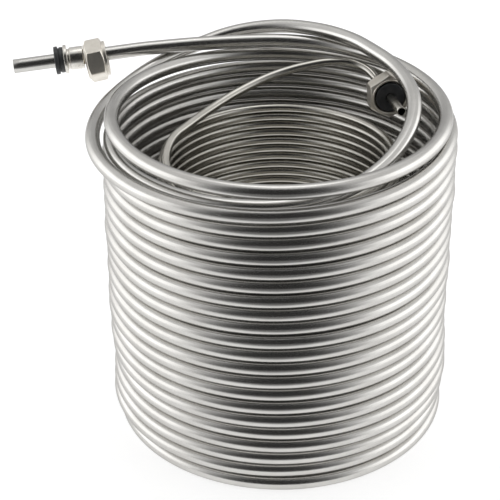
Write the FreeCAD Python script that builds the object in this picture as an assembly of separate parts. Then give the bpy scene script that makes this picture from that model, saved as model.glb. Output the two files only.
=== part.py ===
"""Double stainless coil for cooling a liquid, with a loose-nut coupling on each tube end.

Millimetres, +Z up. The origin is on the coils' axis, in the plane that the bottom turn stands on.
One strand of liquid runs in at the wide tube's end on the left, down the outer coil clockwise
(seen from above), through a reducer sleeve near the floor, up the inner coil and out on the right.
"""
import FreeCAD, Part
import math
import os

V = FreeCAD.Vector

# ---- driving dimensions ----------------------------------------------------------------
OUTER_OD = 9.525            # outer coil's tube, 3/8 inch
OUTER_WALL = 0.71
INNER_OD = 6.0              # inner coil's tube
INNER_WALL = 0.5

OUTER_RADIUS = 109.6        # outer coil, tube centreline, at the bottom
OUTER_FLARE = 1.2           # how much wider the coil is at the top
OUTER_PITCH = 9.955
OUTER_TURNS = 22.5          # from the back of the top turn to the front of the bottom turn
STACK_HEIGHT = OUTER_PITCH * OUTER_TURNS
LEAN_BACK = 3.6             # how much higher the stack is at the back, at the top
LEAN_RIGHT_BOTTOM = -1.4    # how much higher the stack is on the right, at the bottom
LEAN_RIGHT_TOP = 2.8        # and at the top
BULGE = 2.4                 # sideways step of the turns low in the stack
BULGE_HEIGHT = 40.0
BULGE_SPREAD = 15.0
LOOSE_END = 2.875           # the turn at which the even stack starts
FLOOR_GAP = 0.25            # under the lowest turn, where the tube sags between stations

INNER_RADIUS = 76.0
INNER_PITCH = 6.15
INNER_TURNS = 30.25
INNER_START_Z = 3.2

STEPS_PER_TURN = 8          # stations along a coil
LOOSE_STEPS_PER_TURN = 24   # stations along its loose top turns

SEAT_TO_END = 35.0          # ferrule's sealing face to the open end of the tube
FLANGE_R = 9.9
FLANGE_LENGTH = 2.3
NECK_R = 6.9
NECK_LENGTH = 1.7
BODY_R = 7.8
BODY_LENGTH = 9.2
BRAZE_GAP = 0.05            # between a tube and the bore that it is brazed into
BRAZE_SIZE = 1.1            # legs of a braze fillet

WASHER_R = 9.6
WASHER_BACK_R = 8.8
WASHER_GROOVE_R = 8.2
WASHER_LENGTH = 6.3
WASHER_GRIP = 0.1           # clearance of the washer's hole round the tube
SEAT_GAP = 0.1              # between the washer and the sealing face

NUT_AF = 26.0
NUT_LENGTH = 15.0
NUT_COLLAR_R = 11.9
NUT_MOUTH_COLLAR = 1.0
NUT_BACK_COLLAR = 2.2
NUT_CHAMFER = 1.3
NUT_THREAD_R = 10.25        # minor radius of the 7/8 inch, 14 per inch thread
NUT_WALL = 2.4
NUT_HOLE_R = 8.3
NUT_HANG = 3.1              # how far a loose nut's rear hole hangs below the tube's axis
NUT_HANG_TILT = 5.0         # degrees, mouth down
NUT_BACK_OFF = 14.6         # from the sealing face back to the loose nut's mouth
NUT_SEATED = 6.0            # a seated nut's mouth, in front of the sealing face

SLEEVE_R = 5.6
SLEEVE_LENGTH = 24.0
SLEEVE_SOCKET = 10.0        # how far each tube goes in
SLEEVE_AZIMUTH = 88.0       # degrees, at the back
SLEEVE_PATH_R = 92.0
SLEEVE_HEIGHT = 6.2
SLEEVE_INWARD = 9.0         # degrees that the sleeve points inwards from the coil's tangent

# Loose top turns of the outer coil: turn from the back, distance from the axis, height.
# One strand leaves the left end, makes a turn and a half, bulges out on the left, rises over the
# back, crosses to the inside on the right and dives under the front rim.
LOOSE_TURNS = [
    (0.000, 103.0, 225.0),
    (0.125, 104.3, 223.0),
    (0.250, 106.5, 221.0),
    (0.500, 110.0, 219.0),
    (0.750, 108.0, 218.0),
    (1.000, 108.0, 213.2),
    (1.250, 110.0, 211.3),
    (1.375, 112.0, 208.3),
    (1.500, 113.5, 205.0),
    (1.625, 117.5, 204.0),
    (1.750, 121.0, 204.2),
    (1.833, 122.6, 207.2),
    (1.875, 123.1, 212.1),
    (1.917, 122.5, 218.6),
    (1.958, 119.0, 226.6),
    (2.000, 112.4, 232.0),
    (2.042, 104.3, 234.3),
    (2.085, 95.8, 235.1),
    (2.131, 87.6, 235.3),
    (2.218, 84.2, 233.2),
    (2.261, 86.1, 229.9),
    (2.336, 89.0, 219.8),
    (2.417, 94.0, 209.0),
    (2.500, 101.0, 204.6),
    (2.625, 106.3, 203.2),
    (2.750, 109.5, 201.9),
]

# Free end of the outer tube, from the top turn to the start of its straight end.
INLET_TAIL = [
    V(-28.0, 100.5, 225.3),
    V(-56.0, 96.6, 225.0),
    V(-80.0, 93.0, 224.1),
]
INLET_STRAIGHT = V(-100.0, 90.0, 222.9)
INLET_END = V(-183.0, 78.0, 214.9)

# Free end of the inner tube, from the inner coil's top turn to the start of its straight end.
OUTLET_TAIL = [
    V(-43.8, -62.2, 190.2),
    V(-70.6, -29.5, 191.8),
    V(-69.0, 5.0, 197.4),
    V(-59.5, 22.5, 198.6),
    V(-45.2, 42.0, 201.4),
    V(-26.2, 60.5, 206.2),
    V(-2.1, 74.5, 212.3),
    V(17.0, 80.4, 215.8),
    V(34.5, 83.8, 217.6),
    V(47.7, 84.2, 217.2),
    V(57.5, 80.0, 215.4),
]
OUTLET_SEAT = V(72.4, 39.4, 213.8)
OUTLET_DIRECTION = V(0.19, -0.97, 0.10).normalize()


# ---- centrelines -----------------------------------------------------------------------
def smooth(rows, x):
    """Cubic through the rows of (x, values...), with the slope at a row set by its neighbours."""
    last = len(rows) - 2
    i = 0
    while i < last and x > rows[i + 1][0]:
        i += 1
    here, there = rows[i], rows[i + 1]
    before = rows[max(i - 1, 0)]
    after = rows[min(i + 2, last + 1)]
    span = there[0] - here[0]
    s = (x - here[0]) / span
    values = []
    for k in range(1, len(here)):
        slope_here = (there[k] - before[k]) / (there[0] - before[0]) * span
        slope_there = (after[k] - here[k]) / (after[0] - here[0]) * span
        values.append(
            (2 * s**3 - 3 * s**2 + 1) * here[k] + (s**3 - 2 * s**2 + s) * slope_here
            + (3 * s**2 - 2 * s**3) * there[k] + (s**3 - s**2) * slope_there)
    return values


def even_stack(turn):
    """Distance from the axis and height of the outer coil's even turns."""
    height = STACK_HEIGHT - OUTER_PITCH * turn
    share = height / STACK_HEIGHT
    angle = math.radians(90 - 360 * turn)
    lean_right = LEAN_RIGHT_BOTTOM + (LEAN_RIGHT_TOP - LEAN_RIGHT_BOTTOM) * share
    lean = lean_right * math.cos(angle) + LEAN_BACK * share * (1 + math.sin(angle)) / 2
    wobble = 0.35 * math.sin(2.3 * turn) + 0.25 * math.sin(5.1 * turn + 1.0)
    radius = OUTER_RADIUS + OUTER_FLARE * share + wobble
    return radius, OUTER_OD / 2 + FLOOR_GAP + max(height + lean, 0)


LOOSE_ROWS = LOOSE_TURNS + [(LOOSE_END + 0.125 * k,) + even_stack(LOOSE_END + 0.125 * k)
                            for k in range(3)]


def outer_point(turn):
    """Point on the outer coil's centreline, turns counted clockwise from the back."""
    if turn < LOOSE_END:
        radius, z = smooth(LOOSE_ROWS, turn)
    else:
        radius, z = even_stack(turn)
    angle = math.radians(90 - 360 * turn)
    side_step = BULGE * math.exp(-((z - BULGE_HEIGHT) / BULGE_SPREAD) ** 2)
    return V(radius * math.cos(angle) + side_step, radius * math.sin(angle), z)


def inner_point(turn):
    """Point on the inner coil's centreline, turns counted clockwise from the right, upwards."""
    angle = math.radians(-360 * turn)
    wobble = 0.2 * math.sin(1.9 * turn) + 0.15 * math.sin(4.3 * turn)
    radius = INNER_RADIUS + wobble
    z = INNER_START_Z + INNER_PITCH * turn
    return V(radius * math.cos(angle), radius * math.sin(angle), z)


def polar(radius, azimuth, z):
    angle = math.radians(azimuth)
    return V(radius * math.cos(angle), radius * math.sin(angle), z)


def sleeve_frame():
    """Middle of the reducer sleeve and its direction, downstream."""
    middle = polar(SLEEVE_PATH_R, SLEEVE_AZIMUTH, SLEEVE_HEIGHT)
    heading = math.radians(SLEEVE_AZIMUTH - 90 - SLEEVE_INWARD)
    return middle, V(math.cos(heading), math.sin(heading), 0)


SLEEVE_MIDDLE, SLEEVE_DIRECTION = sleeve_frame()
INLET_DIRECTION = (INLET_END - INLET_STRAIGHT).normalize()
INLET_SEAT = INLET_END - INLET_DIRECTION * SEAT_TO_END
OUTLET_END = OUTLET_SEAT + OUTLET_DIRECTION * SEAT_TO_END
OUTLET_STRAIGHT = OUTLET_SEAT - OUTLET_DIRECTION * 26.0


def turns(first, last, per_turn):
    """Evenly spaced turn numbers from first to last."""
    count = max(1, round((last - first) * per_turn))
    return [first + (last - first) * k / count for k in range(count + 1)]


def outer_route():
    """Stations of the outer tube, from its open end to the sleeve."""
    loose = [outer_point(t) for t in turns(0.0, LOOSE_END, LOOSE_STEPS_PER_TURN)]
    even = [outer_point(t) for t in turns(LOOSE_END, OUTER_TURNS, STEPS_PER_TURN)]
    floor = OUTER_OD / 2 + FLOOR_GAP
    run_in = [polar(107.8, -135, floor), polar(104.4, 180, floor), polar(100.2, 135, floor + 0.6)]
    socket = SLEEVE_MIDDLE - SLEEVE_DIRECTION * (SLEEVE_LENGTH / 2 + 6)
    stations = [INLET_END, INLET_STRAIGHT] + INLET_TAIL[::-1] + loose + even[1:] + run_in
    return stations + [socket, SLEEVE_MIDDLE - SLEEVE_DIRECTION * (SLEEVE_LENGTH / 2 - SLEEVE_SOCKET)]


def inner_route():
    """Stations of the inner tube, from the sleeve to its open end."""
    socket = SLEEVE_MIDDLE + SLEEVE_DIRECTION * (SLEEVE_LENGTH / 2 - SLEEVE_SOCKET)
    mouth = SLEEVE_MIDDLE + SLEEVE_DIRECTION * (SLEEVE_LENGTH / 2 + 4)
    run_in = [polar(84.5, 50, 4.4), polar(79.6, 24, INNER_START_Z)]
    coil = [inner_point(t) for t in turns(0.0, INNER_TURNS, STEPS_PER_TURN)]
    return [socket, mouth] + run_in + coil + OUTLET_TAIL + [OUTLET_STRAIGHT, OUTLET_END]


# ---- tubes -----------------------------------------------------------------------------
def middle_tangent(a, b, c):
    """Direction at b of the circle through a, b and c."""
    u, w = b - a, c - b
    lu, lw = u.Length, w.Length
    return (u * (lw / lu) + w * (lu / lw)).normalize()


def station_tangents(points):
    """Directions at the stations; the first and last spans are straight."""
    inside = [middle_tangent(*points[i - 1:i + 2]) for i in range(1, len(points) - 1)]
    first = (points[1] - points[0]).normalize()
    last = (points[-1] - points[-2]).normalize()
    inside[0] = first
    inside[-1] = last
    return [first] + inside + [last]


def biarc(p0, t0, p1, t1):
    """Meeting point and direction of two tangent arcs from p0 along t0 to p1 along t1."""
    v = p1 - p0
    t = t0 + t1
    a = 2 * (1 - t0.dot(t1))
    b = v.dot(t)
    if a < 1e-9:
        reach = v.dot(v) / (2 * b)
    else:
        reach = (-b + math.sqrt(b * b + a * v.dot(v))) / a
    start, end = p0 + t0 * reach, p1 - t1 * reach
    return (start + end) * 0.5, (end - start).normalize()


def moves(points):
    """The route as moves: a straight run (vector), or a turn (centre, axis, degrees)."""
    tangents = station_tangents(points)
    result = []
    for p0, t0, p1, t1 in zip(points, tangents, points[1:], tangents[1:]):
        middle, direction = biarc(p0, t0, p1, t1)
        for a, ta, b in ((p0, t0, middle), (middle, direction, p1)):
            chord = b - a
            side = chord - ta * chord.dot(ta)
            if side.Length < 1e-6 * chord.Length:
                result.append(("run", chord, None, None, chord.Length))
                continue
            side.normalize()
            radius = chord.dot(chord) / (2 * chord.dot(side))
            angle = 2 * math.asin(chord.Length / (2 * radius))
            result.append(("turn", a + side * radius, ta.cross(side), math.degrees(angle), radius * angle))
    return tangents[0], result


def wall(start, tangent, steps, radius):
    """Tube wall faces along the moves, with the first and last rims."""
    rim = Part.Circle(start, tangent, radius).toShape()
    first = rim.copy()
    faces = []
    for kind, where, axis, degrees, _ in steps:
        if kind == "run":
            faces.append(rim.extrude(where))
            rim = rim.copy()
            rim.translate(where)
        else:
            faces.append(rim.revolve(where, axis, degrees))
            rim = rim.copy()
            rim.rotate(where, axis, degrees)
    return faces, first, rim


def tube(points, outside_r, inside_r):
    """Hollow tube along the stations, of straight runs and tangent arcs."""
    tangent, steps = moves(points)
    outside, outside_first, outside_last = wall(points[0], tangent, steps, outside_r)
    inside, inside_first, inside_last = wall(points[0], tangent, steps, inside_r)
    first, last = [Part.makeFace([Part.Wire(outer_rim), Part.Wire(inner_rim)], "Part::FaceMakerBullseye")
                   for outer_rim, inner_rim in ((outside_first, inside_first), (outside_last, inside_last))]
    shell = Part.Shell(outside + [face.reversed() for face in inside] + [first.reversed(), last])
    solid = Part.Solid(shell)
    if solid.Volume < 0:
        solid.reverse()
    length = sum(step[4] for step in steps)
    section = math.pi * (outside_r**2 - inside_r**2)
    tightest = min(step[4] / math.radians(step[3]) for step in steps if step[0] == "turn")
    print("tube length %.0f mm, volume / (section x length) %.5f, tightest radius %.0f, valid %s"
          % (length, solid.Volume / (section * length), tightest, solid.isValid()))
    return solid


# ---- fittings, each built along +Z with its origin at the sealing face -------------------
def revolved(profile):
    """Solid of revolution about Z of a closed outline of (radius, z) points."""
    points = [V(r, 0, z) for r, z in profile]
    face = Part.Face(Part.makePolygon(points + points[:1]))
    return face.revolve(V(0, 0, 0), V(0, 0, 1), 360)


def placed(shape, origin, direction, spin=0):
    """The shape moved so that its origin and +Z go to the given place and direction."""
    shape = shape.copy()
    shape.rotate(V(0, 0, 0), V(0, 0, 1), spin)
    turn = FreeCAD.Rotation(V(0, 0, 1), direction)
    shape.Placement = FreeCAD.Placement(origin, turn).multiply(shape.Placement)
    return shape


def ferrule(tube_r):
    """Flanged ferrule that a tube is brazed into, sealing face at z = 0."""
    bore = tube_r + BRAZE_GAP
    neck = -FLANGE_LENGTH
    body = neck - NECK_LENGTH
    back = body - BODY_LENGTH
    edge = 0.4
    return revolved([
        (bore, 0), (FLANGE_R - edge, 0), (FLANGE_R, -edge), (FLANGE_R, neck + edge),
        (FLANGE_R - edge, neck), (NECK_R, neck), (NECK_R, body), (BODY_R - edge, body),
        (BODY_R, body - edge), (BODY_R, back + edge), (BODY_R - edge, back), (bore, back)])


def braze_ring(tube_r, z, up):
    """Fillet of braze round a tube, against a face at height z, on its upper or lower side."""
    bore = tube_r + BRAZE_GAP
    tip = z + BRAZE_SIZE * up
    return revolved([(bore, z), (bore + BRAZE_SIZE, z), (bore + 0.35 * BRAZE_SIZE, z + 0.35 * BRAZE_SIZE * up),
                     (bore, tip)])


def washer(tube_r):
    """Rubber washer with two lips and a groove between them."""
    hole = tube_r + WASHER_GRIP
    low = SEAT_GAP
    top = low + WASHER_LENGTH
    lip = 0.42 * WASHER_LENGTH
    soft = 0.45
    return revolved([
        (hole, low), (WASHER_BACK_R - soft, low), (WASHER_BACK_R, low + soft),
        (WASHER_BACK_R, low + lip - soft), (WASHER_GROOVE_R, low + lip + 0.1),
        (WASHER_GROOVE_R, top - lip - 0.1), (WASHER_R, top - lip + soft), (WASHER_R, top - soft),
        (WASHER_R - soft, top), (hole, top)])


def hex_nut():
    """Coupling nut, open mouth at z = 0 and rear wall below it, with a collar at each end."""
    back = -NUT_LENGTH
    hex_low = back + NUT_BACK_COLLAR
    hex_top = -NUT_MOUTH_COLLAR
    corner = NUT_AF / 2 / math.cos(math.radians(30))
    shoulder = corner - 2.2
    corners = [V(corner * math.cos(math.radians(60 * k)), corner * math.sin(math.radians(60 * k)), back)
               for k in range(7)]
    prism = Part.Face(Part.makePolygon(corners)).extrude(V(0, 0, NUT_LENGTH))
    envelope = revolved([
        (0, back), (NUT_COLLAR_R - 0.8, back), (NUT_COLLAR_R, back + 0.8), (NUT_COLLAR_R, hex_low),
        (shoulder, hex_low), (corner + 0.1, hex_low + NUT_CHAMFER), (corner + 0.1, hex_top - NUT_CHAMFER),
        (shoulder, hex_top), (NUT_COLLAR_R, hex_top), (NUT_COLLAR_R, -0.3), (NUT_COLLAR_R - 0.3, 0), (0, 0)])
    opening = revolved([
        (0, back - 1), (NUT_HOLE_R, back - 1), (NUT_HOLE_R, back + NUT_WALL), (NUT_THREAD_R, back + NUT_WALL),
        (NUT_THREAD_R, -0.9), (NUT_THREAD_R + 0.9, 0), (NUT_THREAD_R + 0.9, 1), (0, 1)])
    return prism.common(envelope).cut(opening)


def reducer_sleeve():
    """Turned sleeve that joins the two tubes, upstream end at -Z."""
    half = SLEEVE_LENGTH / 2
    wide, narrow = OUTER_OD / 2 + BRAZE_GAP, INNER_OD / 2 + BRAZE_GAP
    through = INNER_OD / 2 - INNER_WALL
    edge = 0.4
    return revolved([
        (wide, -half), (SLEEVE_R - edge, -half), (SLEEVE_R, -half + edge), (SLEEVE_R, half - edge),
        (SLEEVE_R - edge, half), (narrow, half), (narrow, half - SLEEVE_SOCKET),
        (through, half - SLEEVE_SOCKET), (through, -half + SLEEVE_SOCKET + 1),
        (wide - 1, -half + SLEEVE_SOCKET), (wide, -half + SLEEVE_SOCKET)])


def hanging_nut_frame():
    """Mouth centre and mouth direction of the nut that hangs loose on the inlet tube."""
    axis = INLET_DIRECTION
    down = (V(0, 0, -1) + axis * axis.z).normalize()
    tilt = math.radians(NUT_HANG_TILT)
    direction = axis * math.cos(tilt) + down * math.sin(tilt)
    to_wall = NUT_LENGTH - NUT_WALL / 2
    wall_centre = INLET_SEAT - axis * (NUT_BACK_OFF + to_wall) + down * NUT_HANG
    return wall_centre + direction * to_wall, direction


# ---- the object --------------------------------------------------------------------------
def build():
    """Every piece of the object, by node name."""
    outer_r, inner_r = OUTER_OD / 2, INNER_OD / 2
    rear = -(FLANGE_LENGTH + NECK_LENGTH + BODY_LENGTH)
    half = SLEEVE_LENGTH / 2
    nut_mouth, nut_direction = hanging_nut_frame()
    nodes = {
        "outer_coil_tube": tube(outer_route(), outer_r, outer_r - OUTER_WALL),
        "inner_coil_tube": tube(inner_route(), inner_r, inner_r - INNER_WALL),
        "reducer_sleeve": placed(reducer_sleeve(), SLEEVE_MIDDLE, SLEEVE_DIRECTION),
        "sleeve_braze_wide": placed(braze_ring(outer_r, -half, -1), SLEEVE_MIDDLE, SLEEVE_DIRECTION),
        "sleeve_braze_narrow": placed(braze_ring(inner_r, half, 1), SLEEVE_MIDDLE, SLEEVE_DIRECTION),
        "inlet_nut": placed(hex_nut(), nut_mouth, nut_direction, 22),
        "outlet_nut": placed(hex_nut(), OUTLET_SEAT + OUTLET_DIRECTION * NUT_SEATED, OUTLET_DIRECTION, 30),
    }
    for side, tube_r, seat, direction in (("inlet", outer_r, INLET_SEAT, INLET_DIRECTION),
                                          ("outlet", inner_r, OUTLET_SEAT, OUTLET_DIRECTION)):
        nodes[side + "_ferrule"] = placed(ferrule(tube_r), seat, direction)
        nodes[side + "_braze_ring"] = placed(braze_ring(tube_r, rear, -1), seat, direction)
        nodes[side + "_washer"] = placed(washer(tube_r), seat, direction)
    return nodes


def main():
    os.makedirs("parts", exist_ok=True)
    for name, shape in build().items():
        box = shape.BoundBox
        print("%-20s valid %s solids %d volume %.1f x %.1f..%.1f y %.1f..%.1f z %.1f..%.1f" % (
            name, shape.isValid(), len(shape.Solids), shape.Volume,
            box.XMin, box.XMax, box.YMin, box.YMax, box.ZMin, box.ZMax))
        shape.exportStep("parts/%s.step" % name)


main()
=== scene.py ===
"""Looks for the double stainless cooling coil: tubes, couplings, materials, light and camera."""
import math

import bmesh
import bpy
from mathutils import Matrix, Vector


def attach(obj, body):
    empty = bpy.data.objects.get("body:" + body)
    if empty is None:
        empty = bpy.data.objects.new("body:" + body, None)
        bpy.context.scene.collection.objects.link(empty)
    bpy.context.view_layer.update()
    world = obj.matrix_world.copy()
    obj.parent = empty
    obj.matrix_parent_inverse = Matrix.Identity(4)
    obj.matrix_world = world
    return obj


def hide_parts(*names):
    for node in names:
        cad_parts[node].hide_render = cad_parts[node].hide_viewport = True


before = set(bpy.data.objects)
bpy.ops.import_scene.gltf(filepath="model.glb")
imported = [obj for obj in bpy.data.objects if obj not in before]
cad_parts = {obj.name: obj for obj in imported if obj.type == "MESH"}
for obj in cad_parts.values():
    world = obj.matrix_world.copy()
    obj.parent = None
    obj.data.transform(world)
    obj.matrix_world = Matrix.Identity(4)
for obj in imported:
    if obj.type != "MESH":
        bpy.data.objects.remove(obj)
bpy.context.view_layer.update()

MM = 0.001

# ---- the CAD part's dimensions, in millimetres and degrees ---------------------------------
OUTER_OD, OUTER_WALL = 9.525, 0.71
INNER_OD, INNER_WALL = 6.0, 0.5
OUTER_RADIUS, OUTER_FLARE = 109.6, 1.2
OUTER_PITCH, OUTER_TURNS = 9.955, 22.5
STACK_HEIGHT = OUTER_PITCH * OUTER_TURNS
LEAN_BACK, LEAN_RIGHT_BOTTOM, LEAN_RIGHT_TOP = 3.6, -1.4, 2.8
BULGE, BULGE_HEIGHT, BULGE_SPREAD = 2.4, 40.0, 15.0
LOOSE_END, FLOOR_GAP = 2.875, 0.25
LOOSE_STEPS_PER_TURN, STEPS_PER_TURN = 24, 8
INNER_RADIUS, INNER_PITCH, INNER_TURNS, INNER_START_Z = 76.0, 6.15, 30.25, 3.2

SEAT_TO_END, OUTLET_LEAD = 35.0, 26.0
FLANGE_R, FLANGE_LENGTH = 9.9, 2.3
NECK_R, NECK_LENGTH = 6.9, 1.7
BODY_R, BODY_LENGTH = 7.8, 9.2
BRAZE_GAP, BRAZE_SIZE = 0.05, 1.1
WASHER_R, WASHER_BACK_R, WASHER_GROOVE_R, WASHER_LENGTH = 9.6, 8.8, 8.2, 6.3
WASHER_GRIP, SEAT_GAP = 0.1, 0.1
NUT_AF, NUT_LENGTH, NUT_COLLAR_R = 26.0, 15.0, 11.9
NUT_MOUTH_COLLAR, NUT_BACK_COLLAR, NUT_CHAMFER = 1.0, 2.2, 1.3
NUT_THREAD_R, NUT_WALL, NUT_HOLE_R, NUT_SHOULDER = 10.25, 2.4, 8.3, 2.2
NUT_HANG, NUT_HANG_TILT, NUT_BACK_OFF, NUT_SEATED = 3.1, 5.0, 14.6, 6.0
THREAD_PITCH, THREAD_DEPTH = 25.4 / 14, 0.75
SLEEVE_R, SLEEVE_LENGTH, SLEEVE_SOCKET = 5.6, 24.0, 10.0
SLEEVE_AZIMUTH, SLEEVE_PATH_R, SLEEVE_HEIGHT, SLEEVE_INWARD = 88.0, 92.0, 6.2, 9.0
SLEEVE_LEAD_WIDE, SLEEVE_LEAD_NARROW = 6, 4

# Loose top turns of the outer coil: turn from the back, distance from the axis, height. They lead
# from the left free end to the even stack.
LOOSE_TURNS = [
    (0.000, 103.0, 225.0), (0.125, 104.3, 223.0), (0.250, 106.5, 221.0), (0.500, 110.0, 219.0),
    (0.750, 108.0, 218.0), (1.000, 108.0, 213.2), (1.250, 110.0, 211.3), (1.375, 112.0, 208.3),
    (1.500, 113.5, 205.0), (1.625, 117.5, 204.0), (1.750, 121.0, 204.2), (1.833, 122.6, 207.2),
    (1.875, 123.1, 212.1), (1.917, 122.5, 218.6), (1.958, 119.0, 226.6), (2.000, 112.4, 232.0),
    (2.042, 104.3, 234.3), (2.085, 95.8, 235.1), (2.131, 87.6, 235.3), (2.218, 84.2, 233.2),
    (2.261, 86.1, 229.9), (2.336, 89.0, 219.8), (2.417, 94.0, 209.0), (2.500, 101.0, 204.6),
    (2.625, 106.3, 203.2), (2.750, 109.5, 201.9),
]
# The two free ends, each from its coil's top turn to the start of its straight end.
INLET_TAIL = [(-28.0, 100.5, 225.3), (-56.0, 96.6, 225.0), (-80.0, 93.0, 224.1)]
INLET_STRAIGHT = Vector((-100.0, 90.0, 222.9))
INLET_END = Vector((-183.0, 78.0, 214.9))
OUTLET_TAIL = [
    (-43.8, -62.2, 190.2), (-70.6, -29.5, 191.8), (-69.0, 5.0, 197.4), (-59.5, 22.5, 198.6),
    (-45.2, 42.0, 201.4), (-26.2, 60.5, 206.2), (-2.1, 74.5, 212.3), (17.0, 80.4, 215.8),
    (34.5, 83.8, 217.6), (47.7, 84.2, 217.2), (57.5, 80.0, 215.4),
]
OUTLET_SEAT = Vector((72.4, 39.4, 213.8))
OUTLET_DIRECTION = Vector((0.19, -0.97, 0.10)).normalized()

# ---- what only this script needs: steps along a tube, sides round a piece, the nuts' turn -------
TUBE_LIP, BORE_SHOWN = 0.22, 60.0
OUTER_STEP, OUTER_SIDES = 5.0, 24
INNER_STEP, INNER_SIDES = 4.0, 18
BRAZE_SIDES, SLEEVE_SIDES, RING_SIDES, NUT_SIDES = 64, 72, 96, 180
INLET_NUT_SPIN, OUTLET_NUT_SPIN = 22, 42


# ---- centrelines, as in the CAD part -------------------------------------------------------
def smooth(rows, x):
    """Cubic through the rows of (x, values...), with the slope at a row set by its neighbours."""
    last = len(rows) - 2
    i = 0
    while i < last and x > rows[i + 1][0]:
        i += 1
    here, there = rows[i], rows[i + 1]
    before, after = rows[max(i - 1, 0)], rows[min(i + 2, last + 1)]
    span = there[0] - here[0]
    s = (x - here[0]) / span
    values = []
    for k in range(1, len(here)):
        slope_here = (there[k] - before[k]) / (there[0] - before[0]) * span
        slope_there = (after[k] - here[k]) / (after[0] - here[0]) * span
        values.append(
            (2 * s**3 - 3 * s**2 + 1) * here[k] + (s**3 - 2 * s**2 + s) * slope_here
            + (3 * s**2 - 2 * s**3) * there[k] + (s**3 - s**2) * slope_there)
    return values


def even_stack(turn):
    """Distance from the axis and height of the outer coil's even turns."""
    height = STACK_HEIGHT - OUTER_PITCH * turn
    share = height / STACK_HEIGHT
    angle = math.radians(90 - 360 * turn)
    lean_right = LEAN_RIGHT_BOTTOM + (LEAN_RIGHT_TOP - LEAN_RIGHT_BOTTOM) * share
    lean = lean_right * math.cos(angle) + LEAN_BACK * share * (1 + math.sin(angle)) / 2
    wobble = 0.35 * math.sin(2.3 * turn) + 0.25 * math.sin(5.1 * turn + 1.0)
    radius = OUTER_RADIUS + OUTER_FLARE * share + wobble
    return radius, OUTER_OD / 2 + FLOOR_GAP + max(height + lean, 0)


LOOSE_ROWS = LOOSE_TURNS + [(LOOSE_END + 0.125 * k,) + even_stack(LOOSE_END + 0.125 * k)
                            for k in range(3)]


def polar(radius, azimuth, z):
    angle = math.radians(azimuth)
    return Vector((radius * math.cos(angle), radius * math.sin(angle), z))


def outer_point(turn):
    """Point on the outer coil's centreline, turns counted clockwise from the back."""
    radius, z = smooth(LOOSE_ROWS, turn) if turn < LOOSE_END else even_stack(turn)
    side_step = BULGE * math.exp(-((z - BULGE_HEIGHT) / BULGE_SPREAD) ** 2)
    return polar(radius, 90 - 360 * turn, z) + Vector((side_step, 0, 0))


def inner_point(turn):
    """Point on the inner coil's centreline, turns counted clockwise from the right, upwards."""
    wobble = 0.2 * math.sin(1.9 * turn) + 0.15 * math.sin(4.3 * turn)
    return polar(INNER_RADIUS + wobble, -360 * turn, INNER_START_Z + INNER_PITCH * turn)


SLEEVE_MIDDLE = polar(SLEEVE_PATH_R, SLEEVE_AZIMUTH, SLEEVE_HEIGHT)
SLEEVE_DIRECTION = polar(1.0, SLEEVE_AZIMUTH - 90 - SLEEVE_INWARD, 0.0)
INLET_DIRECTION = (INLET_END - INLET_STRAIGHT).normalized()
INLET_SEAT = INLET_END - INLET_DIRECTION * SEAT_TO_END
OUTLET_END = OUTLET_SEAT + OUTLET_DIRECTION * SEAT_TO_END
OUTLET_STRAIGHT = OUTLET_SEAT - OUTLET_DIRECTION * OUTLET_LEAD


def turns(first, last, per_turn):
    """Evenly spaced turn numbers from first to last."""
    count = max(1, round((last - first) * per_turn))
    return [first + (last - first) * k / count for k in range(count + 1)]


def outer_route():
    """Stations of the outer tube, from its open end to the sleeve."""
    loose = [outer_point(t) for t in turns(0.0, LOOSE_END, LOOSE_STEPS_PER_TURN)]
    even = [outer_point(t) for t in turns(LOOSE_END, OUTER_TURNS, STEPS_PER_TURN)]
    floor = OUTER_OD / 2 + FLOOR_GAP
    run_in = [polar(107.8, -135, floor), polar(104.4, 180, floor), polar(100.2, 135, floor + 0.6)]
    socket = SLEEVE_MIDDLE - SLEEVE_DIRECTION * (SLEEVE_LENGTH / 2 + SLEEVE_LEAD_WIDE)
    tail = [Vector(p) for p in INLET_TAIL[::-1]]
    stations = [INLET_END, INLET_STRAIGHT] + tail + loose + even[1:] + run_in
    tube_end = SLEEVE_MIDDLE - SLEEVE_DIRECTION * (SLEEVE_LENGTH / 2 - SLEEVE_SOCKET)
    return stations + [socket, tube_end]


def inner_route():
    """Stations of the inner tube, from the sleeve to its open end."""
    socket = SLEEVE_MIDDLE + SLEEVE_DIRECTION * (SLEEVE_LENGTH / 2 - SLEEVE_SOCKET)
    mouth = SLEEVE_MIDDLE + SLEEVE_DIRECTION * (SLEEVE_LENGTH / 2 + SLEEVE_LEAD_NARROW)
    run_in = [polar(84.5, 50, 4.4), polar(79.6, 24, INNER_START_Z)]
    coil = [inner_point(t) for t in turns(0.0, INNER_TURNS, STEPS_PER_TURN)]
    tail = [Vector(p) for p in OUTLET_TAIL]
    return [socket, mouth] + run_in + coil + tail + [OUTLET_STRAIGHT, OUTLET_END]


def middle_tangent(a, b, c):
    """Direction at b of the circle through a, b and c."""
    u, w = b - a, c - b
    return (u * (w.length / u.length) + w * (u.length / w.length)).normalized()


def biarc(p0, t0, p1, t1):
    """Meeting point and direction of two tangent arcs from p0 along t0 to p1 along t1."""
    v, t = p1 - p0, t0 + t1
    a, b = 2 * (1 - t0.dot(t1)), v.dot(t)
    reach = v.dot(v) / (2 * b) if a < 1e-6 else (-b + math.sqrt(b * b + a * v.dot(v))) / a
    start, end = p0 + t0 * reach, p1 - t1 * reach
    return (start + end) * 0.5, (end - start).normalized()


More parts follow.
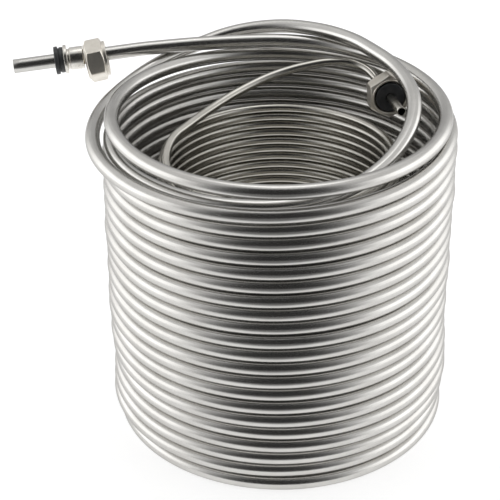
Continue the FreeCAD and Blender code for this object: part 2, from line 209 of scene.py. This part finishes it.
def line_along(points, step):
    """(place, direction, distance) every step or less along the stations' tangent arcs."""
    tangents = [middle_tangent(*points[i - 1:i + 2]) for i in range(1, len(points) - 1)]
    tangents[0] = (points[1] - points[0]).normalized()
    tangents[-1] = (points[-1] - points[-2]).normalized()
    tangents = tangents[:1] + tangents + tangents[-1:]
    line = [(points[0], tangents[0], 0.0)]
    travelled = 0.0
    for p0, t0, p1, t1 in zip(points, tangents, points[1:], tangents[1:]):
        middle, direction = biarc(p0, t0, p1, t1)
        for a, ta, b in ((p0, t0, middle), (middle, direction, p1)):
            chord = b - a
            side = chord - ta * chord.dot(ta)
            straight = side.length < 1e-4 * chord.length
            if straight:
                length = chord.length
            else:
                side.normalize()
                radius = chord.dot(chord) / (2 * chord.dot(side))
                angle = 2 * math.asin(min(1.0, chord.length / (2 * radius)))
                length = radius * angle
            count = max(1, math.ceil(length / step))
            for k in range(1, count + 1):
                if straight:
                    place, heading = a + chord * (k / count), ta
                else:
                    w = angle * k / count
                    place = a + ta * (radius * math.sin(w)) + side * (radius * (1 - math.cos(w)))
                    heading = ta * math.cos(w) + side * math.sin(w)
                line.append((place, heading.normalized(), travelled + length * k / count))
            travelled += length
    return line


# ---- mesh building ---------------------------------------------------------------------------
def new_object(name, bm, material, body, slot, *nodes):
    """Object from the bmesh, smooth shaded, that stands for the CAD nodes on a body."""
    mesh = bpy.data.meshes.new(name)
    bm.to_mesh(mesh)
    bm.free()
    for polygon in mesh.polygons:
        polygon.use_smooth = True
    mesh.materials.append(material)
    obj = bpy.data.objects.new(name, mesh)
    bpy.context.scene.collection.objects.link(obj)
    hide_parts(*nodes)
    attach(obj, body)


def grid_faces(bm, rows, uvs, uv_layer, flip=False):
    """Quads between neighbouring closed rows; uvs(row, column) gives a corner's place."""
    for i in range(len(rows) - 1):
        low, high = rows[i], rows[i + 1]
        count = len(low)
        for j in range(count):
            k = (j + 1) % count
            corners = [(low[j], i, j), (low[k], i, j + 1),
                       (high[k], i + 1, j + 1), (high[j], i + 1, j)]
            if flip:
                corners.reverse()
            face = bm.faces.new([c[0] for c in corners])
            for loop, (_, row, column) in zip(face.loops, corners):
                loop[uv_layer].uv = uvs(row, column)


def tube_mesh(line, radius, wall, sides, open_first, open_last):
    """Tube along the line: outside wall, rounded lips, and a bore at each open end."""
    bm = bmesh.new()
    uv_layer = bm.loops.layers.uv.new("along")
    side = line[0][1].orthogonal().normalized()
    frames = []
    for place, heading, distance in line:
        side = (side - heading * side.dot(heading)).normalized()
        frames.append((place, side, heading.cross(side), heading, distance))

    def ring(frame_here, r, shift=0.0):
        place, u, v, heading, _ = frame_here
        centre = place + heading * shift
        return [bm.verts.new((centre + (u * math.cos(a) + v * math.sin(a)) * r) * MM)
                for a in (2 * math.pi * k / sides for k in range(sides))]

    lip = TUBE_LIP
    bore = radius - wall

    def end_rows(frames_in, first):
        """Rows from deep in the bore out over the lip, for the end at frames_in[0]."""
        sign = 1 if first else -1
        inside = [f for f in frames_in if abs(f[4] - frames_in[0][4]) < BORE_SHOWN][::-1]
        out = [(ring(f, bore), f[4]) for f in inside[:-1]]
        tip = inside[-1]
        out.append((ring(tip, bore, lip * 0.6 * sign), tip[4]))
        out.append((ring(tip, bore + 0.1, 0.0), tip[4]))
        out.append((ring(tip, radius - lip, 0.0), tip[4]))
        out.append((ring(tip, radius - lip * 0.3, lip * 0.3 * sign), tip[4]))
        out.append((ring(tip, radius, lip * sign), tip[4]))
        return out

    if open_first:
        sequence = end_rows(frames, True)
    else:
        first = frames[0]
        sequence = [(ring(first, bore), first[4]), (ring(first, radius), first[4])]
    sequence += [(ring(f, radius), f[4]) for f in frames[1:-1]]
    if open_last:
        sequence += end_rows(frames[::-1], False)[::-1]
    else:
        last = frames[-1]
        sequence += [(ring(last, radius), last[4]), (ring(last, bore), last[4])]
    rows = [row for row, _ in sequence]
    marks = [mark for _, mark in sequence]
    grid_faces(bm, rows, lambda i, j: (marks[i] * MM, j / sides), uv_layer)
    for row in (rows[0], rows[-1]):
        bm.faces.new(row)
    bmesh.ops.recalc_face_normals(bm, faces=bm.faces)
    return bm


def rounded(profile, radius, steps):
    """The closed outline with each corner rounded."""
    result = []
    count = len(profile)
    for i in range(count):
        a, b, c = (Vector(profile[(i + k) % count]) for k in (-1, 0, 1))
        u, w = (a - b), (c - b)
        reach = min(radius, 0.45 * u.length, 0.45 * w.length)
        start, end = b + u.normalized() * reach, b + w.normalized() * reach
        for k in range(steps + 1):
            s = k / steps
            result.append(start * (1 - s) ** 2 + b * (2 * s * (1 - s)) + end * s**2)
    return result


def lathe(outline, sides, shape=None):
    """Closed outline of (radius, z) turned round Z; shape(angle, r, z) may change a radius."""
    bm = bmesh.new()
    uv_layer = bm.loops.layers.uv.new("along")
    rows = []
    travelled, marks = 0.0, []
    for i, (r, z) in enumerate(outline):
        if i:
            travelled += math.hypot(r - outline[i - 1][0], z - outline[i - 1][1])
        marks.append(travelled)
        row = []
        for k in range(sides):
            a = 2 * math.pi * k / sides
            here = shape(a, r, z) if shape else r
            row.append(bm.verts.new(Vector((here * math.cos(a), here * math.sin(a), z)) * MM))
        rows.append(row)
    rows.append(rows[0])
    first, last = outline[0], outline[-1]
    marks.append(travelled + math.hypot(first[0] - last[0], first[1] - last[1]))
    around = 2 * math.pi * max(r for r, _ in outline)
    grid_faces(bm, rows, lambda i, j: (marks[i] * MM, j / sides * around * MM), uv_layer)
    bmesh.ops.recalc_face_normals(bm, faces=bm.faces)
    return bm


def place(bm, origin, direction, spin=0.0):
    """Turns +Z to the direction and moves the origin there, as the CAD part does."""
    turn = Vector((0, 0, 1)).rotation_difference(direction).to_matrix().to_4x4()
    matrix = Matrix.Translation(origin * MM) @ turn @ Matrix.Rotation(math.radians(spin), 4, "Z")
    bmesh.ops.transform(bm, matrix=matrix, verts=bm.verts)
    return bm


def divided(outline, step):
    """The closed outline with long spans divided."""
    result = []
    for i, a in enumerate(outline):
        a, b = Vector(a), Vector(outline[(i + 1) % len(outline)])
        count = max(1, math.ceil((b - a).length / step))
        result += [a + (b - a) * (k / count) for k in range(count)]
    return result


# ---- fittings, each along +Z with its origin at the sealing face ------------------------------
def ferrule(tube_r):
    """Flange, neck groove and body, bored for the tube."""
    bore = tube_r + BRAZE_GAP
    neck = -FLANGE_LENGTH
    body = neck - NECK_LENGTH
    back = body - BODY_LENGTH
    outline = [(bore, 0), (FLANGE_R, 0), (FLANGE_R, neck), (NECK_R, neck), (NECK_R, body),
               (BODY_R, body), (BODY_R, back), (bore, back)]
    return lathe(rounded(outline, radius=0.4, steps=5), RING_SIDES)


def braze_ring(tube_r, z, up):
    """Fillet of braze round the tube on the face at z, growing up (1) or down (-1) the tube."""
    bore = tube_r + BRAZE_GAP
    size = BRAZE_SIZE
    outline = [(bore, z), (bore + size, z), (bore + 0.62 * size, z + 0.14 * size * up),
               (bore + 0.35 * size, z + 0.35 * size * up), (bore + 0.14 * size, z + 0.62 * size * up),
               (bore, z + size * up)]

    def uneven(angle, r, _):
        share = (r - bore) / size
        waves = math.sin(3 * angle + 0.7) * 0.6 + math.sin(7 * angle) * 0.4
        return r - share * size * 0.12 * (1 + waves)

    return lathe([Vector(p) for p in outline], BRAZE_SIDES, uneven)


def washer(tube_r):
    """Rubber washer with a groove between two lips, the back lip smaller."""
    hole = tube_r + WASHER_GRIP
    low = SEAT_GAP
    top = low + WASHER_LENGTH
    lip = 0.42 * WASHER_LENGTH
    outline = [(hole, low), (WASHER_BACK_R, low), (WASHER_BACK_R, low + lip),
               (WASHER_GROOVE_R, low + lip + 0.1), (WASHER_GROOVE_R, top - lip - 0.1),
               (WASHER_R, top - lip), (WASHER_R, top), (hole, top)]
    return lathe(rounded(outline, radius=0.55, steps=5), RING_SIDES)


def reducer_sleeve():
    """Sleeve with a wide socket, a narrow socket and a stepped bore between them."""
    half = SLEEVE_LENGTH / 2
    wide, narrow = OUTER_OD / 2 + BRAZE_GAP, INNER_OD / 2 + BRAZE_GAP
    through = INNER_OD / 2 - INNER_WALL
    outline = [(wide, -half), (SLEEVE_R, -half), (SLEEVE_R, half), (narrow, half),
               (narrow, half - SLEEVE_SOCKET), (through, half - SLEEVE_SOCKET),
               (through, -half + SLEEVE_SOCKET + 1), (wide - 1, -half + SLEEVE_SOCKET),
               (wide, -half + SLEEVE_SOCKET)]
    return lathe(rounded(outline, radius=0.4, steps=4), SLEEVE_SIDES)


def coupling_nut():
    """Hex nut with chamfered corners, a collar at each end, and a cut thread inside."""
    back = -NUT_LENGTH
    hex_low, hex_top = back + NUT_BACK_COLLAR, -NUT_MOUTH_COLLAR
    corner = NUT_AF / 2 / math.cos(math.radians(30))
    shoulder = corner - NUT_SHOULDER
    thread_low, thread_top = back + NUT_WALL + 0.9, -0.7
    mouth_chamfer, fade_length, edge_depth, edge_width = 0.95, 0.8, 0.18, 0.16
    outline = rounded([
        (NUT_HOLE_R, back), (NUT_COLLAR_R, back), (NUT_COLLAR_R, hex_low), (shoulder, hex_low),
        (corner, hex_low + NUT_CHAMFER), (corner, hex_top - NUT_CHAMFER), (shoulder, hex_top),
        (NUT_COLLAR_R, hex_top), (NUT_COLLAR_R, 0), (NUT_THREAD_R + mouth_chamfer, 0),
        (NUT_THREAD_R, -mouth_chamfer), (NUT_THREAD_R, back + NUT_WALL),
        (NUT_HOLE_R, back + NUT_WALL)], radius=0.3, steps=4)
    outline = divided(outline, THREAD_PITCH / 7)

    def shape(angle, r, z):
        if r > NUT_COLLAR_R - 0.01:
            nearest = (angle + math.pi / 6) % (math.pi / 3) - math.pi / 6
            flat = NUT_AF / 2 / math.cos(math.pi / 6 - abs(nearest))
            low, high = min(r, flat), max(r, flat)
            return low - edge_depth * math.exp(-(high - low) / edge_width)
        inside = abs(r - NUT_THREAD_R) < 0.06 and thread_low < z < thread_top
        if inside:
            share = (z / THREAD_PITCH - angle / (2 * math.pi)) % 1.0
            groove = min(1.0, max(0.0, 1.45 * (1 - abs(2 * share - 1)) - 0.15))
            fade = min(1.0, (z - thread_low) / fade_length, (thread_top - z) / fade_length)
            return r + THREAD_DEPTH * groove * fade
        return r

    return lathe(outline, NUT_SIDES, shape)


def hanging_nut_frame():
    """Mouth centre and mouth direction of the nut that hangs loose on the inlet tube."""
    axis = INLET_DIRECTION
    down = (Vector((0, 0, -1)) + axis * axis.z).normalized()
    tilt = math.radians(NUT_HANG_TILT)
    direction = axis * math.cos(tilt) + down * math.sin(tilt)
    to_wall = NUT_LENGTH - NUT_WALL / 2
    wall_centre = INLET_SEAT - axis * (NUT_BACK_OFF + to_wall) + down * NUT_HANG
    return wall_centre + direction * to_wall, direction


# ---- materials ---------------------------------------------------------------------------------
class Nodes:
    """A material's node tree, with short calls to add and join nodes."""

    def __init__(self, name):
        self.material = bpy.data.materials.new(name)
        self.material.use_nodes = True
        self.tree = self.material.node_tree
        self.shader = self.tree.nodes["Principled BSDF"]

    def add(self, kind, settings=None, inputs=None):
        node = self.tree.nodes.new(kind)
        for key, value in (settings or {}).items():
            setattr(node, key, value)
        for key, value in (inputs or {}).items():
            if isinstance(value, bpy.types.NodeSocket):
                self.tree.links.new(value, node.inputs[key])
            else:
                node.inputs[key].default_value = value
        return node

    def set(self, key, value):
        if isinstance(value, bpy.types.NodeSocket):
            self.tree.links.new(value, self.shader.inputs[key])
        else:
            self.shader.inputs[key].default_value = value

    def along(self, *scale):
        """The piece's lengthwise map, scaled."""
        uv = self.add("ShaderNodeUVMap", {"uv_map": "along"})
        return self.add("ShaderNodeMapping", None,
                        {"Vector": uv.outputs["UV"], "Scale": scale}).outputs[0]

    def place(self, *scale):
        """The piece's place in space, scaled."""
        where = self.add("ShaderNodeTexCoord")
        return self.add("ShaderNodeMapping", None,
                        {"Vector": where.outputs["Object"], "Scale": scale}).outputs[0]

    def noise(self, vector, scale, detail=3.0, roughness=0.5):
        return self.add("ShaderNodeTexNoise", None, {
            "Vector": vector, "Scale": scale, "Detail": detail, "Roughness": roughness}).outputs["Fac"]

    def spread(self, value, low, high, start=0.3, end=0.7):
        """The value's range start..end stretched to low..high."""
        return self.add("ShaderNodeMapRange", None, {
            "Value": value, "From Min": start, "From Max": end,
            "To Min": low, "To Max": high}).outputs[0]

    def blend(self, share, a, b):
        node = self.add("ShaderNodeMix", {"data_type": "RGBA"})
        self.tree.links.new(share, node.inputs["Factor"])
        node.inputs[6].default_value = a
        node.inputs[7].default_value = b
        return node.outputs[2]

    def bump(self, height, strength, distance, normal=None):
        inputs = {"Height": height, "Strength": strength, "Distance": distance}
        if normal is not None:
            inputs["Normal"] = normal
        return self.add("ShaderNodeBump", None, inputs).outputs["Normal"]


def tube_steel(name, colour, shade, rough):
    """Bright drawn stainless: fine lines along the tube, faint handling marks and stains."""
    m = Nodes(name)
    lines = m.noise(m.along(22.0, 90.0, 1.0), 1.0, 4.0, 0.65)
    patches = m.noise(m.place(34.0, 34.0, 90.0), 1.0, 3.0, 0.55)
    marks = m.noise(m.along(900.0, 5.0, 1.0), 1.0, 2.0, 0.5)
    m.set("Base Color", m.blend(m.spread(patches, 0.0, 1.0), colour, shade))
    m.set("Metallic", 1.0)
    m.set("Roughness", m.spread(lines, rough - 0.02, rough + 0.03, 0.25, 0.75))
    m.set("Anisotropic", 0.25)
    m.set("Specular Tint", (0.6, 0.6, 0.6, 1))
    fine = m.bump(lines, 0.02, 0.00006)
    m.set("Normal", m.bump(marks, 0.02, 0.0001, fine))
    return m.material


def polished_steel(name):
    m = Nodes(name)
    turned = m.noise(m.along(9000.0, 14.0, 1.0), 1.0, 2.0, 0.5)
    stains = m.noise(m.place(160.0, 160.0, 160.0), 1.0, 3.0, 0.5)
    m.set("Base Color", m.blend(m.spread(stains, 0.0, 1.0),
                                (0.80, 0.78, 0.74, 1), (0.70, 0.67, 0.62, 1)))
    m.set("Metallic", 1.0)
    m.set("Roughness", m.spread(stains, 0.22, 0.30))
    m.set("Normal", m.bump(turned, 0.06, 0.00005))
    return m.material


def nickel_plate(name):
    m = Nodes(name)
    cloud = m.noise(m.place(110.0, 110.0, 110.0), 1.0, 4.0, 0.55)
    fine = m.noise(m.place(1400.0, 1400.0, 1400.0), 1.0, 2.0, 0.5)
    turned = m.noise(m.along(6500.0, 20.0, 1.0), 1.0, 2.0, 0.5)
    m.set("Base Color", m.blend(m.spread(cloud, 0.0, 1.0),
                                (0.80, 0.765, 0.70, 1), (0.68, 0.64, 0.575, 1)))
    m.set("Metallic", 1.0)
    m.set("Roughness", m.spread(cloud, 0.30, 0.40))
    m.set("Normal", m.bump(fine, 0.10, 0.00006, m.bump(turned, 0.08, 0.00005)))
    return m.material


def braze_metal(name):
    m = Nodes(name)
    lumps = m.noise(m.place(900.0, 900.0, 900.0), 1.0, 3.0, 0.5)
    tint = m.noise(m.place(300.0, 300.0, 300.0), 1.0, 3.0, 0.5)
    m.set("Base Color", m.blend(m.spread(tint, 0.0, 1.0), (0.62, 0.57, 0.47, 1), (0.44, 0.37, 0.28, 1)))
    m.set("Metallic", 1.0)
    m.set("Roughness", m.spread(lumps, 0.28, 0.46))
    m.set("Normal", m.bump(lumps, 0.3, 0.0002))
    return m.material


def black_rubber(name):
    m = Nodes(name)
    grain = m.noise(m.place(2600.0, 2600.0, 2600.0), 1.0, 4.0, 0.6)
    dust = m.noise(m.place(240.0, 240.0, 240.0), 1.0, 4.0, 0.6)
    m.set("Base Color", m.blend(m.spread(dust, 0.0, 1.0, 0.45, 0.8),
                                (0.034, 0.036, 0.039, 1), (0.070, 0.072, 0.075, 1)))
    m.set("Roughness", m.spread(grain, 0.32, 0.45))
    m.set("Specular IOR Level", 0.45)
    m.set("Normal", m.bump(grain, 0.18, 0.00012))
    return m.material


# ---- the pieces -----------------------------------------------------------------------------------
steel_wide = tube_steel("steel_wide", (0.66, 0.65, 0.628, 1), (0.58, 0.568, 0.545, 1), 0.25)
# The narrow tube's colours are darker and warmer than the wide tube's: painted shade of the coil's dim,
# brownish inside.
steel_narrow_painted_shade = tube_steel("steel_narrow_painted_shade", (0.615, 0.60, 0.558, 1), (0.53, 0.512, 0.468, 1), 0.22)
steel_fitting = polished_steel("steel_fitting")
plate = nickel_plate("nickel_plate")
braze = braze_metal("silver_braze")
rubber = black_rubber("black_rubber")

outer_line = line_along(outer_route(), OUTER_STEP)
outer_tube = tube_mesh(outer_line, OUTER_OD / 2, OUTER_WALL, OUTER_SIDES,
                       open_first=True, open_last=False)
new_object("outer_tube", outer_tube,
           steel_wide, "coil", "tube_steel", "outer_coil_tube")
inner_line = line_along(inner_route(), INNER_STEP)
inner_tube = tube_mesh(inner_line, INNER_OD / 2, INNER_WALL, INNER_SIDES,
                       open_first=False, open_last=True)
new_object("inner_tube", inner_tube,
           steel_narrow_painted_shade, "coil", "tube_steel", "inner_coil_tube")
new_object("sleeve", place(reducer_sleeve(), SLEEVE_MIDDLE, SLEEVE_DIRECTION),
           steel_fitting, "coil", "fitting_steel", "reducer_sleeve")
half_sleeve = SLEEVE_LENGTH / 2
for end, tube_r, z, up in (("wide", OUTER_OD / 2, -half_sleeve, -1),
                           ("narrow", INNER_OD / 2, half_sleeve, 1)):
    new_object("sleeve_fillet_" + end, place(braze_ring(tube_r, z, up), SLEEVE_MIDDLE, SLEEVE_DIRECTION),
               braze, "coil", "braze", "sleeve_braze_" + end)

rear = -(FLANGE_LENGTH + NECK_LENGTH + BODY_LENGTH)
for end, tube_r, seat, direction in (("inlet", OUTER_OD / 2, INLET_SEAT, INLET_DIRECTION),
                                     ("outlet", INNER_OD / 2, OUTLET_SEAT, OUTLET_DIRECTION)):
    new_object(end + "_flanged_ferrule", place(ferrule(tube_r), seat, direction),
               steel_fitting, "coil", "fitting_steel", end + "_ferrule")
    new_object(end + "_fillet", place(braze_ring(tube_r, rear, -1), seat, direction),
               braze, "coil", "braze", end + "_braze_ring")
    new_object(end + "_rubber_washer", place(washer(tube_r), seat, direction),
               rubber, end + "_washer", "black_rubber", end + "_washer")

nut_mouth, nut_direction = hanging_nut_frame()
new_object("inlet_hex_nut", place(coupling_nut(), nut_mouth, nut_direction, INLET_NUT_SPIN),
           plate, "inlet_nut", "nut_metal", "inlet_nut")
seated_mouth = OUTLET_SEAT + OUTLET_DIRECTION * NUT_SEATED
new_object("outlet_hex_nut", place(coupling_nut(), seated_mouth, OUTLET_DIRECTION, OUTLET_NUT_SPIN),
           plate, "outlet_nut", "nut_metal", "outlet_nut")


# ---- floor, light and camera ------------------------------------------------------------------------
def stage_mesh(name, corners, faces, material):
    mesh = bpy.data.meshes.new(name)
    mesh.from_pydata(corners, [], faces)
    mesh.materials.append(material)
    obj = bpy.data.objects.new(name, mesh)
    bpy.context.scene.collection.objects.link(obj)
    return obj


def pale_floor():
    m = Nodes("pale_floor")
    m.set("Base Color", (0.55, 0.55, 0.55, 1))
    m.set("Roughness", 0.7)
    m.set("Specular IOR Level", 0.1)
    m.set("Emission Color", (1, 1, 1, 1))
    m.set("Emission Strength", 0.70)
    return m.material


def dark_flag():
    """Black cloth low in front of the object, seen only in its gloss: dark ahead, pale to the sides."""
    near, far, low = -0.13, -1.5, 0.001
    slope, darkest_at = 0.6, -0.34
    dark, pale = 0.17, 1.05
    m = Nodes("dark_flag")
    axes = m.add("ShaderNodeSeparateXYZ", None, {
        "Vector": m.add("ShaderNodeTexCoord").outputs["Object"]}).outputs
    aside = m.add("ShaderNodeMath", {"operation": "ABSOLUTE"}, {0: axes["X"]}).outputs[0]
    behind = m.add("ShaderNodeMath", {"operation": "MULTIPLY_ADD"},
                   {0: aside, 1: slope, 2: axes["Y"]}).outputs[0]
    m.set("Base Color", (0, 0, 0, 1))
    m.set("Specular IOR Level", 0.0)
    m.set("Emission Color", (1, 1, 1, 1))
    m.set("Emission Strength", m.add("ShaderNodeMapRange", {"interpolation_type": "SMOOTHSTEP"}, {
        "Value": behind, "From Min": darkest_at, "From Max": near,
        "To Min": dark, "To Max": pale}).outputs[0])
    corners = [(near / slope, near, low), (-near / slope, near, low),
               (-far / slope, far, low), (far / slope, far, low)]
    obj = stage_mesh("dark_flag", corners, [(0, 1, 2, 3)], m.material)
    obj.visible_camera = obj.visible_diffuse = obj.visible_shadow = False


def card(name, azimuth, half_width, radius, top, middle, side, clear):
    """Upright card curved round the object; its light goes from middle to side past the share clear."""
    m = Nodes(name)
    where = m.add("ShaderNodeTexCoord").outputs["UV"]
    x = m.add("ShaderNodeSeparateXYZ", None, {"Vector": where}).outputs["X"]
    share = m.add("ShaderNodeMapRange", {"interpolation_type": "SMOOTHSTEP"}, {
        "Value": x, "From Min": clear, "From Max": 1.0,
        "To Min": middle, "To Max": side}).outputs[0]
    m.set("Base Color", (0, 0, 0, 1))
    m.set("Specular IOR Level", 0.0)
    m.set("Emission Color", (1, 1, 1, 1))
    m.set("Emission Strength", share)
    count = 48
    corners, faces = [], []
    for k in range(count + 1):
        angle = math.radians(azimuth - half_width + 2 * half_width * k / count)
        corners += [(radius * math.sin(angle), -radius * math.cos(angle), z) for z in (0.0, top)]
        if k:
            faces.append((2 * k - 2, 2 * k, 2 * k + 1, 2 * k - 1))
    obj = stage_mesh(name, corners, faces, m.material)
    layer = obj.data.uv_layers.new(name="side")
    for polygon in obj.data.polygons:
        for index in polygon.loop_indices:
            column = obj.data.loops[index].vertex_index // 2
            layer.data[index].uv = (abs(2 * column / count - 1), 0.0)
    obj.visible_camera = False


def softbox(name, position, aim, width, height, power):
    light = bpy.data.lights.new(name, "AREA")
    light.shape = "RECTANGLE"
    light.size, light.size_y, light.energy = width, height, power
    obj = bpy.data.objects.new(name, light)
    obj.location = position
    obj.rotation_euler = (Vector(aim) - Vector(position)).to_track_quat("-Z", "Y").to_euler()
    bpy.context.scene.collection.objects.link(obj)


ROOM = 0.76
FLOOR = 4.0
stage_mesh("floor", [(-FLOOR, -FLOOR, 0), (FLOOR, -FLOOR, 0), (FLOOR, FLOOR, 0), (-FLOOR, FLOOR, 0)],
           [(0, 1, 2, 3)], pale_floor())
dark_flag()
card("front_card", azimuth=0, half_width=66, radius=1.5, top=4.6, middle=0.02, side=ROOM, clear=0.36)
card("back_card", azimuth=180, half_width=34, radius=1.8, top=1.6, middle=0.55, side=ROOM, clear=0.3)
for name, azimuth in (("left_card", -97), ("right_card", 97)):
    card(name, azimuth, half_width=49, radius=1.45, top=1.0, middle=1.75, side=ROOM, clear=0.5)
softbox("box_top", position=(0.0, 0.45, 1.8), aim=(0, 0, 0.1), width=0.9, height=0.6, power=2)

world = bpy.data.worlds.new("studio")
world.use_nodes = True
world.node_tree.nodes["Background"].inputs["Color"].default_value = (1.0, 0.998, 0.99, 1)
world.node_tree.nodes["Background"].inputs["Strength"].default_value = ROOM
bpy.context.scene.world = world
bpy.context.scene.view_settings.view_transform = "Standard"

lens = bpy.data.cameras.new("camera")
lens.lens, lens.sensor_width = 118.2, 36.0
camera = bpy.data.objects.new("camera", lens)
elevation = math.radians(30.27)
distance, aim_height = 1.1108, 0.1127
camera.location = (0.0, -distance * math.cos(elevation),
                   aim_height + distance * math.sin(elevation))
yaw, pitch = math.radians(-1.125), math.radians(30.12)
look = Vector((math.sin(yaw) * math.cos(pitch), math.cos(yaw) * math.cos(pitch), -math.sin(pitch)))
camera.rotation_euler = look.to_track_quat("-Z", "Y").to_euler()
bpy.context.scene.collection.objects.link(camera)
bpy.context.scene.camera = camera
